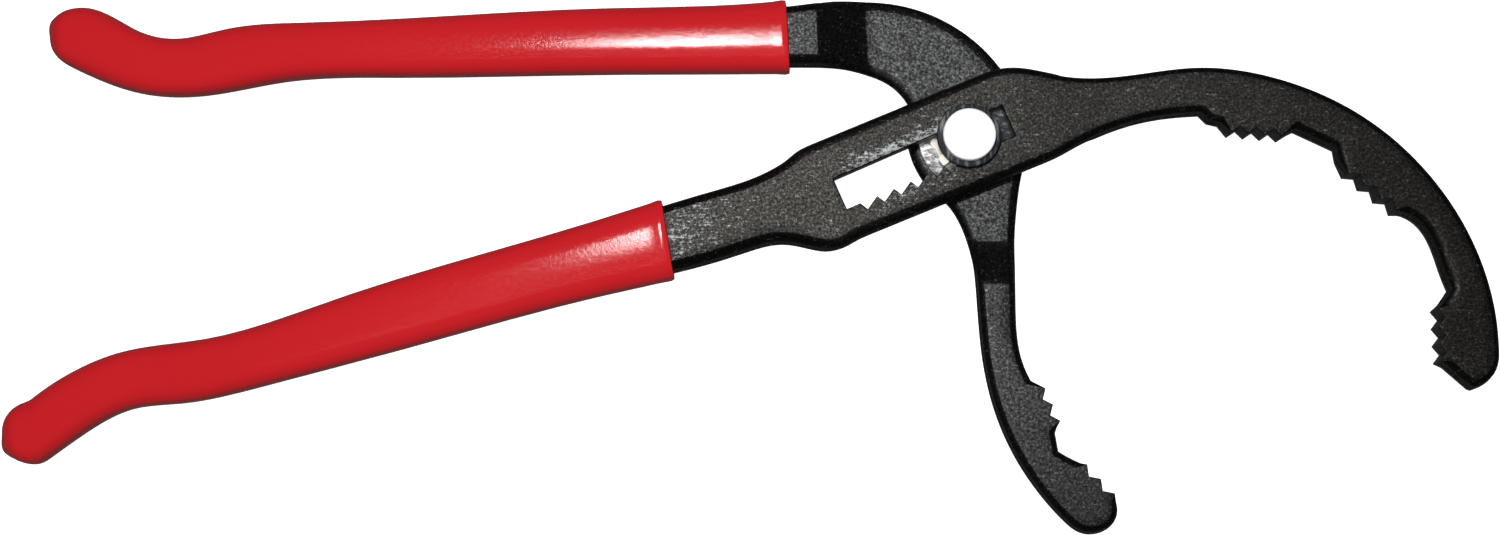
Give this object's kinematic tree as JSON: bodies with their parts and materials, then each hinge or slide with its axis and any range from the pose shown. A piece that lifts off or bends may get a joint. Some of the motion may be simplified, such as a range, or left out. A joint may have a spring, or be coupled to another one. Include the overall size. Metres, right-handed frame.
{
  "type": "oil filter wrench",
  "caption": "Adjustable slip-joint oil filter pliers with curved toothed jaws, a rack slot at the pivot and dipped handles.",
  "frame": {"origin": "pivot axis where it meets the plane of the nut's underside, on which the tool lies", "axes": "+X from the handles to the jaws, +Y towards the handle of the hub arm, +Z along the pivot axis out of the front face"},
  "size_m": [0.4049, 0.1476, 0.0212],
  "materials": {
    "forged_steel": "shot-blasted, black phosphate",
    "bright_steel": "machined bright",
    "dark_washer": "blackened, oiled",
    "key_steel": "hardened, bright",
    "red_vinyl": "dipped vinyl, glossy"
  },
  "bodies": {
    "slotted_body": {"slotted_arm": "forged_steel", "lower_grip": "red_vinyl"},
    "pivot_carriage": {"pivot_bolt": "bright_steel", "head_washer": "dark_washer", "back_washer": "dark_washer", "pivot_nut": "dark_washer"},
    "hub_body": {"hub_arm": "forged_steel", "locking_key": "key_steel", "upper_grip": "red_vinyl"}
  },
  "joints": [
    {"name": "slip", "type": "slide", "parent": "slotted_body", "child": "pivot_carriage", "axis": [-0.9164, -0.4003, 0], "range_m": [-0.005, 0.025]},
    {"name": "swing", "type": "hinge", "parent": "pivot_carriage", "child": "hub_body", "pos_m": [0, 0, 0], "axis": [0, 0, 1], "range_deg": [-30, 14]}
  ]
}
